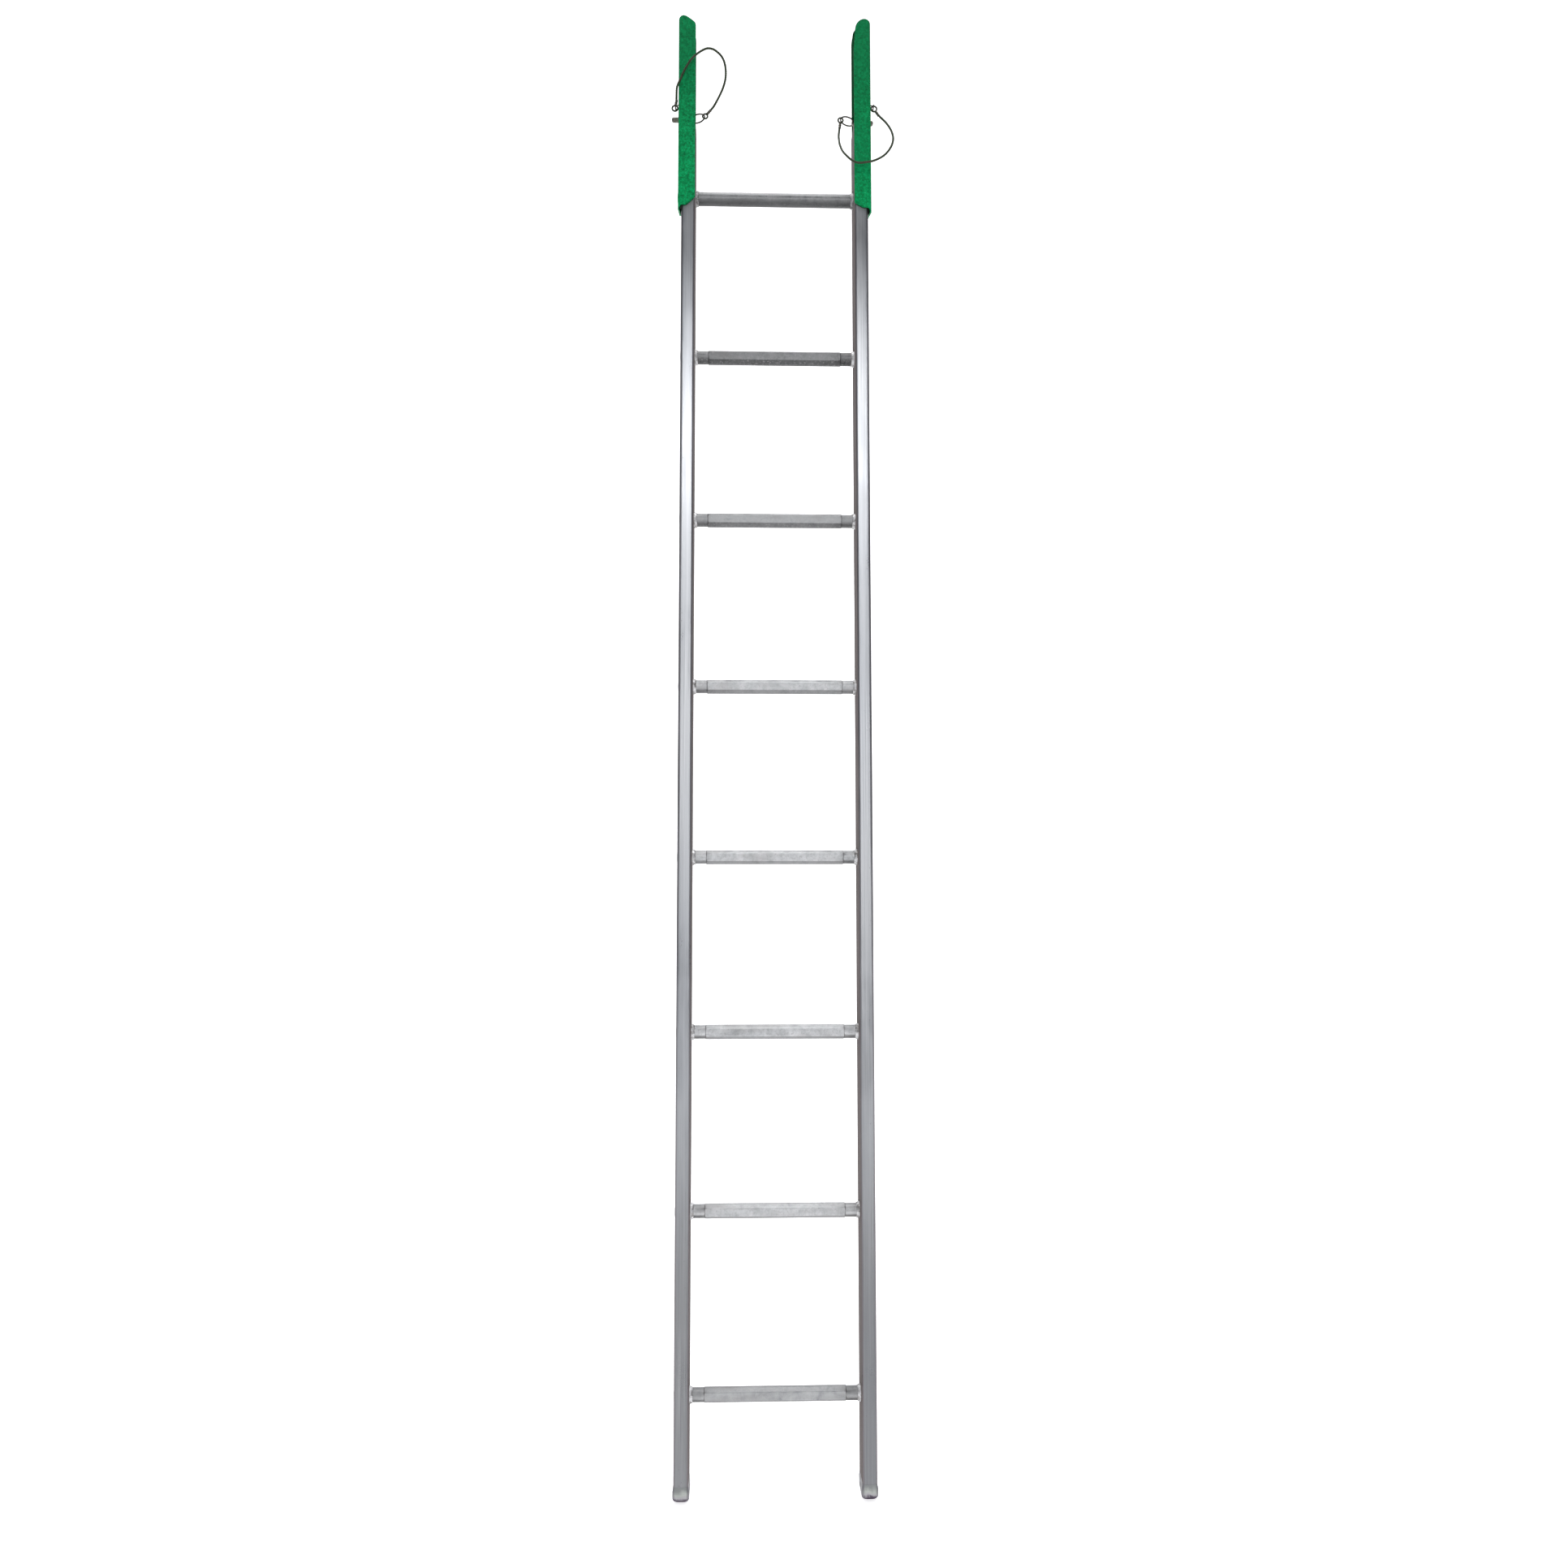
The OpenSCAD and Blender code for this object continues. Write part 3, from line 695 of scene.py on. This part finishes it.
class Paint:
    """Builds one procedural material on the piece's own coordinates."""

    def __init__(self, name, metallic, roughness):
        self.material = bpy.data.materials.new(name)
        self.material.use_nodes = True
        self.tree = self.material.node_tree
        self.shader = self.tree.nodes["Principled BSDF"]
        self.shader.inputs["Metallic"].default_value = metallic
        self.shader.inputs["Roughness"].default_value = roughness
        self.where = self.tree.nodes.new("ShaderNodeTexCoord").outputs["Object"]

    def join(self, out, socket):
        self.tree.links.new(out, socket)

    def stretched(self, scale, source=None):
        node = self.tree.nodes.new("ShaderNodeMapping")
        node.inputs["Scale"].default_value = scale
        self.join(source or self.where, node.inputs["Vector"])
        return node.outputs["Vector"]

    def noise(self, scale, detail=4.0, rough=0.55, source=None, distortion=0.0):
        node = self.tree.nodes.new("ShaderNodeTexNoise")
        node.inputs["Scale"].default_value = 1.0
        node.inputs["Detail"].default_value = detail
        node.inputs["Roughness"].default_value = rough
        node.inputs["Distortion"].default_value = distortion
        self.join(self.stretched(scale, source), node.inputs["Vector"])
        return node.outputs["Fac"]

    def cells(self, scale):
        node = self.tree.nodes.new("ShaderNodeTexVoronoi")
        node.inputs["Scale"].default_value = 1.0
        self.join(self.stretched(scale), node.inputs["Vector"])
        return node.outputs["Distance"]

    def axis(self, name, source=None):
        node = self.tree.nodes.new("ShaderNodeSeparateXYZ")
        self.join(source or self.where, node.inputs[0])
        return node.outputs[name]

    def normal_axis(self, name):
        node = self.tree.nodes.new("ShaderNodeNewGeometry")
        return self.axis(name, node.outputs["Normal"])

    def math(self, operation, a, b=None):
        node = self.tree.nodes.new("ShaderNodeMath")
        node.operation = operation
        for socket, value in zip(node.inputs, (a, b)):
            if value is None:
                continue
            if isinstance(value, (int, float)):
                socket.default_value = value
            else:
                self.join(value, socket)
        return node.outputs[0]

    def band(self, value, low, high, to_low=0.0, to_high=1.0):
        node = self.tree.nodes.new("ShaderNodeMapRange")
        node.interpolation_type = "SMOOTHSTEP"
        self.join(value, node.inputs["Value"])
        for name, number in (("From Min", low), ("From Max", high), ("To Min", to_low),
                             ("To Max", to_high)):
            node.inputs[name].default_value = number
        return node.outputs["Result"]

    def ramp(self, value, stops):
        node = self.tree.nodes.new("ShaderNodeValToRGB")
        self.join(value, node.inputs["Fac"])
        elements = node.color_ramp.elements
        while len(elements) < len(stops):
            elements.new(0.5)
        for element, (at, colour) in zip(elements, stops):
            element.position = at
            element.color = (*colour, 1)
        return node.outputs["Color"]

    def mix(self, share, a, b, kind="MIX"):
        node = self.tree.nodes.new("ShaderNodeMix")
        node.data_type = "RGBA"
        node.blend_type = kind
        for socket, value in ((node.inputs[0], share), (node.inputs[6], a), (node.inputs[7], b)):
            if isinstance(value, (int, float)):
                socket.default_value = value
            elif isinstance(value, tuple):
                socket.default_value = (*value, 1)
            else:
                self.join(value, socket)
        return node.outputs[2]

    def dimmed(self, colour, share):
        """The colour times a share from 0, black, to 1, as it was."""
        grey = self.ramp(share, [(0.0, (0, 0, 0)), (1.0, (1, 1, 1))])
        return self.mix(1.0, colour, grey, "MULTIPLY")

    def off_rail(self):
        """Distance from the middle of the nearer rail, less than 0 towards the ladder's middle."""
        return self.math("SUBTRACT", self.math("ABSOLUTE", self.axis("X")), RAIL_X * MM)

    def bump(self, height, distance, strength=1.0, under=None):
        node = self.tree.nodes.new("ShaderNodeBump")
        node.inputs["Distance"].default_value = distance
        node.inputs["Strength"].default_value = strength
        self.join(height, node.inputs["Height"])
        if under is not None:
            self.join(under, node.inputs["Normal"])
        return node.outputs["Normal"]

    def finish(self, colour=None, roughness=None, normal=None, metallic=None):
        for name, out in (("Base Color", colour), ("Roughness", roughness), ("Normal", normal),
                          ("Metallic", metallic)):
            if out is not None:
                self.join(out, self.shader.inputs[name])
        return self.material


def rail_paint():
    """Drawn aluminium with painted shade: darker towards both ends, on the inward faces and along
    the rounded edges.
    """
    p = Paint("rail_drawn_aluminium", 0.9, 0.32)
    p.shader.inputs["Specular IOR Level"].default_value = 0.0
    drawn = p.noise((900, 900, 4), 3, 0.6)
    mottle = p.noise((26, 26, 6), 5, 0.6, distortion=0.4)
    cloud = p.noise((7, 7, 1.6), 3, 0.5)
    grey = p.ramp(mottle, [(0.25, (0.36, 0.37, 0.39)), (0.5, (0.50, 0.51, 0.53)),
                           (0.75, (0.62, 0.63, 0.65))])
    grey = p.mix(p.band(drawn, 0.35, 0.7), grey, (0.66, 0.67, 0.69))
    grey = p.mix(p.band(cloud, 0.35, 0.65, 0.0, 0.35), grey, (0.34, 0.36, 0.40))
    # Painted shade by height: darker below about 0.8 m, lightest near 1.9 m and darker again above
    # 2 m.
    height = p.axis("Z")
    height_shade = p.math("MULTIPLY", p.band(height, 0.3, 0.78, 0.42, 1.0),
                  p.band(height, 2.0, 2.24, 1.0, 0.5))
    height_shade = p.math("MULTIPLY", height_shade, p.band(height, 1.6, 1.9, 0.86, 1.0))
    grey = p.dimmed(grey, height_shade)
    # Painted shade: dark bands along the rounded edges of the front and back faces.
    edge = p.band(p.math("ABSOLUTE", p.off_rail()), 0.0088, 0.0115)
    front = p.band(p.math("ABSOLUTE", p.normal_axis("Y")), 0.1, 0.45)
    grey = p.mix(p.math("MULTIPLY", p.math("MULTIPLY", edge, 0.75), front), grey,
                 (0.14, 0.12, 0.13))
    # Painted shade on the side faces that look into the ladder.
    inner = p.band(p.math("MULTIPLY", p.math("SIGN", p.axis("X")), p.normal_axis("X")),
                   -0.75, -0.95)
    grey = p.mix(inner, grey, p.mix(mottle, (0.13, 0.112, 0.112), (0.22, 0.20, 0.195)))
    specks = p.band(p.cells((210, 210, 90)), 0.0, 0.16, 1.0, 0.0)
    some = p.band(p.noise((31, 31, 9), 2), 0.55, 0.66)
    marks = p.math("MULTIPLY", specks, some)
    grey = p.mix(p.math("MULTIPLY", marks, 0.75), grey, (0.10, 0.09, 0.09))
    rough = p.band(mottle, 0.3, 0.7, 0.27, 0.38)
    normal = p.bump(drawn, 0.00006)
    normal = p.bump(mottle, 0.00025, 0.6, normal)
    normal = p.bump(p.math("MULTIPLY", marks, -1.0), 0.0002, 0.8, normal)
    # The inward faces are made nearly unmetallic to keep their painted shade dark.
    metal = p.math("SUBTRACT", 0.9, p.math("MULTIPLY", inner, 0.87))
    return p.finish(grey, rough, normal, metal)


def rung_paint(name, dark):
    """Scuffed drawn aluminium with painted shade on its underside and top. Dark runs from 0 to 1
    for the top rung, which is a copy painted darker all over as shade; the other rungs get painted
    shade by height.
    """
    p = Paint(name, 0.8, 0.45)
    drawn = p.noise((5, 700, 700), 3, 0.6)
    mottle = p.noise((60, 60, 60), 6, 0.65, distortion=0.3)
    worn = p.noise((14, 40, 40), 4, 0.6)
    # Painted shade: for the top rung every colour is made darker.
    light = 1.0 - 0.62 * dark

    def lit(*colour):
        return tuple(light * c for c in colour)

    grey = p.ramp(mottle, [(0.28, lit(0.33, 0.34, 0.35)), (0.5, lit(0.55, 0.56, 0.57)),
                           (0.72, lit(0.72, 0.72, 0.73))])
    grey = p.mix(p.band(worn, 0.42, 0.7, 0.0, 0.5), grey, lit(0.38, 0.37, 0.37))
    # Painted shade on the faces that look down and, a little, on those that look up.
    facing = p.normal_axis("Z")
    shade = p.math("MULTIPLY", p.band(facing, -0.8, -0.2, 0.4, 1.0),
                   p.band(facing, 0.55, 0.9, 1.0, 0.78))
    grey = p.dimmed(grey, shade)
    if not dark:
        # Painted shade by height: darker towards the top rungs and near the floor.
        height = p.axis("Z")
        height_shade = p.math("MULTIPLY", p.band(height, 1.15, 2.05, 1.0, 0.38),
                      p.band(height, 0.0, 0.62, 0.55, 1.0))
        grey = p.dimmed(grey, height_shade)
    grain = p.noise((260, 260, 260), 3, 0.7)
    grey = p.mix(p.band(grain, 0.5, 0.72, 0.0, 0.5), grey, lit(0.3, 0.294, 0.3))
    grit = p.band(p.cells((330, 330, 330)), 0.0, 0.2, 1.0, 0.0)
    some = p.band(p.noise((45, 45, 45), 2), 0.5, 0.62)
    marks = p.math("MULTIPLY", grit, some)
    grey = p.mix(p.math("MULTIPLY", marks, 0.6), grey, (0.14, 0.13, 0.13))
    rough = p.band(mottle, 0.3, 0.7, 0.36, 0.55)
    normal = p.bump(drawn, 0.00005)
    normal = p.bump(mottle, 0.0003, 0.7, normal)
    normal = p.bump(p.math("MULTIPLY", marks, -1.0), 0.00025, 0.8, normal)
    return p.finish(grey, rough, normal)


def weld_paint():
    """Weld metal with soot in patches and painted shade towards the top."""
    p = Paint("weld_bead_metal", 0.85, 0.45)
    fine = p.noise((420, 420, 420), 4, 0.6)
    soot = p.noise((120, 120, 120), 3, 0.6)
    grey = p.mix(p.band(soot, 0.42, 0.62), (0.60, 0.60, 0.61), (0.24, 0.23, 0.225))
    # Painted shade: darker towards the top.
    height_shade = p.band(p.axis("Z"), 1.9, 2.25, 1.0, 0.5)
    grey = p.dimmed(grey, height_shade)
    rough = p.band(fine, 0.3, 0.7, 0.38, 0.58)
    return p.finish(grey, rough, p.bump(fine, 0.0001))


def green_paint():
    """Sprayed green paint with specks, dust and chips, with painted shade inside the channel and
    towards the top.
    """
    p = Paint("green_socket_paint", 0.0, 0.5)
    speck = p.noise((240, 240, 240), 5, 0.7)
    cloud = p.noise((14, 14, 7), 4, 0.55)
    green = p.ramp(speck, [(0.32, (0.0, 0.10, 0.03)), (0.52, (0.0, 0.25, 0.075)),
                           (0.72, (0.004, 0.42, 0.14))])
    green = p.mix(p.band(cloud, 0.35, 0.7, 0.0, 0.5), green, (0.0, 0.18, 0.06))
    dust = p.band(p.noise((420, 420, 420), 2), 0.64, 0.72)
    green = p.mix(p.math("MULTIPLY", dust, 0.3), green, (0.10, 0.40, 0.20))
    chips = p.math("MULTIPLY", p.band(p.cells((150, 150, 70)), 0.0, 0.10, 1.0, 0.0),
                   p.band(p.noise((22, 22, 15), 2), 0.60, 0.66))
    green = p.mix(p.math("MULTIPLY", chips, 0.7), green, (0.09, 0.10, 0.09))
    # Painted shade on the inner faces of the channel.
    channel_shade = p.math("MULTIPLY", p.band(p.off_rail(), 0.0157, 0.0164, 1.0, 0.0),
                    p.band(p.math("ABSOLUTE", p.axis("Y")), 0.0330, 0.0340, 1.0, 0.0))
    # Painted shade: darker towards the top.
    shade = p.band(p.axis("Z"), 2.30, 2.56, 1.0, 0.74)
    green = p.dimmed(green, shade)
    green = p.mix(p.math("MULTIPLY", channel_shade, 0.85), green, (0.0, 0.028, 0.008))
    rough = p.band(speck, 0.3, 0.7, 0.42, 0.58)
    normal = p.bump(speck, 0.00012, 0.8)
    normal = p.bump(p.math("MULTIPLY", chips, -1.0), 0.0002, 0.8, normal)
    p.shader.inputs["Specular IOR Level"].default_value = 0.06
    return p.finish(green, rough, normal)


def foot_paint():
    """Worn aluminium, very dark and unmetallic at its lowest few millimetres, lighter above and
    darker again towards the rail, with painted shade along its side edges.
    """
    p = Paint("worn_foot_aluminium", 0.8, 0.4)
    p.shader.inputs["Specular IOR Level"].default_value = 0.0
    height = p.axis("Z")
    uneven = p.noise((60, 60, 25), 4, 0.6)
    level = p.math("ADD", height, p.band(uneven, 0.3, 0.7, -0.004, 0.004))
    grey = p.ramp(p.band(level, 0.0, 0.034),
                  [(0.0, (0.06, 0.045, 0.07)), (0.2, (0.09, 0.075, 0.10)),
                   (0.38, (0.36, 0.35, 0.37)), (0.6, (0.36, 0.38, 0.36)),
                   (0.92, (0.21, 0.22, 0.22))])
    # Painted shade along the foot's side edges.
    rim = p.band(p.math("ABSOLUTE", p.off_rail()), 0.0085, 0.0125)
    grey = p.mix(p.math("MULTIPLY", rim, 0.6), grey, (0.10, 0.09, 0.11))
    scratch = p.band(p.noise((30, 30, 700), 3, 0.6), 0.5, 0.72)
    grey = p.mix(p.math("MULTIPLY", scratch, 0.35), grey, (0.2, 0.19, 0.18))
    rough = p.band(uneven, 0.3, 0.7, 0.3, 0.5)
    metal = p.band(level, 0.006, 0.016, 0.0, 0.8)
    return p.finish(grey, rough, p.bump(uneven, 0.0003, 0.6), metal)


def steel_paint(name, dark, warm, rough_low, rough_high):
    """Small steel parts, darker and warmer as asked."""
    p = Paint(name, 0.85, 0.4)
    fine = p.noise((380, 380, 380), 5, 0.65)
    cloud = p.noise((90, 90, 90), 3, 0.6)
    low = tuple(c * dark for c in (0.30 + 0.08 * warm, 0.30 + 0.05 * warm, 0.28 - 0.03 * warm))
    high = tuple(c * 1.9 for c in low)
    grey = p.mix(p.band(fine, 0.3, 0.7), low, high)
    grey = p.mix(p.band(cloud, 0.45, 0.7, 0.0, 0.6), grey, tuple(c * 0.5 for c in low))
    return p.finish(grey, p.band(fine, 0.3, 0.7, rough_low, rough_high), p.bump(fine, 0.00008))


def rope_paint():
    """Oiled dark wire, with its fine wires drawn along the strands."""
    p = Paint("wire_rope_strands", 0.1, 0.5)
    p.shader.inputs["Specular IOR Level"].default_value = 0.2
    coords = p.tree.nodes.new("ShaderNodeUVMap")
    coords.uv_map = "along"
    wave = p.tree.nodes.new("ShaderNodeTexWave")
    wave.wave_type = "BANDS"
    wave.bands_direction = "DIAGONAL"
    wave.inputs["Scale"].default_value = 1.0
    wave.inputs["Distortion"].default_value = 0.0
    p.join(p.stretched((40, 12, 1), coords.outputs["UV"]), wave.inputs["Vector"])
    wires = wave.outputs["Fac"]
    cloud = p.noise((140, 140, 140), 3, 0.6)
    grey = p.mix(wires, (0.014, 0.019, 0.010), (0.065, 0.085, 0.045))
    grey = p.mix(p.band(cloud, 0.4, 0.7, 0.0, 0.5), grey, (0.022, 0.028, 0.015))
    return p.finish(grey, p.band(cloud, 0.3, 0.7, 0.35, 0.5), p.bump(wires, 0.00012))


def dress(piece, material):
    """Gives a new piece its one material."""
    piece.data.materials.clear()
    piece.data.materials.append(material)


def dress_node(name, material):
    """Gives a CAD node that stays in view its material."""
    node = nodes[name]
    if not node.material_slots:
        node.data.materials.append(material)
    for slot in node.material_slots:
        slot.material = material


rail_metal = rail_paint()
rung_metal = rung_paint("rung_drawn_aluminium", 0.0)
# The top rung's copy is painted darker all over as shade.
top_rung_shaded_metal = rung_paint("top_rung_aluminium_painted_shade", 1.0)
weld_metal = weld_paint()
green = green_paint()
foot_metal = foot_paint()
pin_metal = steel_paint("lock_pin_steel", 0.3, 0.4, 0.3, 0.5)
ring_metal = steel_paint("pin_ring_steel", 0.09, 0.6, 0.28, 0.45)
dark_metal = steel_paint("staple_and_spacer_steel", 0.2, 0.2, 0.4, 0.6)
sleeve_metal = steel_paint("crimp_sleeve_metal", 0.22, 0.5, 0.3, 0.5)
rope_metal = rope_paint()

for ropes, sleeves in lanyards:
    for pieces, material, slot in ((ropes, rope_metal, "wire_rope"),
                                   (sleeves, sleeve_metal, "crimp_metal")):
        for piece in pieces:
            dress(piece, material)
for side in SIDES:
    dress(rail(side), rail_metal)
    beads, caps, head = welds(side)
    dress(beads, weld_metal)
    dress(caps, weld_metal)
    dress(head, green)
    dress(socket(side), green)
    dress(foot(side), foot_metal)
    dress_node("lock_pin_" + side, pin_metal)
    dress_node("pin_ring_" + side, ring_metal)
    dress_node("anchor_staple_" + side, dark_metal)
    dress_node("socket_spacer_" + side, dark_metal)
for number in range(1, RUNGS + 1):
    dress(rung(number), top_rung_shaded_metal if number == RUNGS else rung_metal)

# ---------------------------------------------------------------- floor and light


def floor():
    """A pale floor that curves up into a plain backdrop."""
    profile = [(-4.0, 0.0), (3.0, 0.0)]
    profile += [(3.0 + 2.0 * math.sin(math.radians(a)), 2.0 - 2.0 * math.cos(math.radians(a)))
                for a in range(6, 91, 6)] + [(5.0, 7.0)]
    verts, faces = [], []
    for y, z in profile:
        verts += [(-9.0, y, z), (9.0, y, z)]
    for k in range(len(profile) - 1):
        faces.append((2 * k, 2 * k + 1, 2 * k + 3, 2 * k + 2))
    mesh = bpy.data.meshes.new("floor")
    mesh.from_pydata(verts, [], faces)
    mesh.polygons.foreach_set("use_smooth", [True] * len(faces))
    piece = bpy.data.objects.new("floor", mesh)
    bpy.context.scene.collection.objects.link(piece)
    p = Paint("pale_floor", 0.0, 0.7)
    p.shader.inputs["Emission Color"].default_value = (1, 1, 1, 1)
    p.shader.inputs["Emission Strength"].default_value = 0.72
    soft = p.noise((0.7, 0.7, 0.7), 2)
    dress(piece, p.finish(p.mix(soft, (0.86, 0.86, 0.87), (0.90, 0.90, 0.90))))


def area_light(name, place_at, target, width, height, power):
    """A soft rectangle of light, in metres and watts, that the camera doesn't see."""
    data = bpy.data.lights.new(name, "AREA")
    data.shape = "RECTANGLE"
    data.size, data.size_y = width, height
    data.energy = power
    lamp = bpy.data.objects.new(name, data)
    lamp.location = place_at
    lamp.rotation_mode = "QUATERNION"
    lamp.rotation_quaternion = (Vector(target) - Vector(place_at)).to_track_quat("-Z", "Y")
    lamp.visible_camera = False
    bpy.context.scene.collection.objects.link(lamp)


floor()
area_light("high_key", (0.0, -2.7, 2.75), (0, 0, 1.9), 1.6, 0.5, 14)
area_light("low_key", (0.1, -3.2, 1.5), (0, 0, 1.2), 2.2, 1.4, 14)
area_light("top", (0, -0.3, 4.6), (0, -0.3, 0), 3.5, 3.0, 110)
area_light("wash", (0, 1.5, 4.8), (0, 5, 1.8), 7.0, 2.0, 90)
world = bpy.data.worlds.new("studio")
bpy.context.scene.world = world
world.use_nodes = True
sky = world.node_tree.nodes["Background"]
sky.inputs["Color"].default_value = (0.9, 0.93, 1.0, 1)
sky.inputs["Strength"].default_value = 0.22
bpy.context.scene.view_settings.view_transform = "Standard"
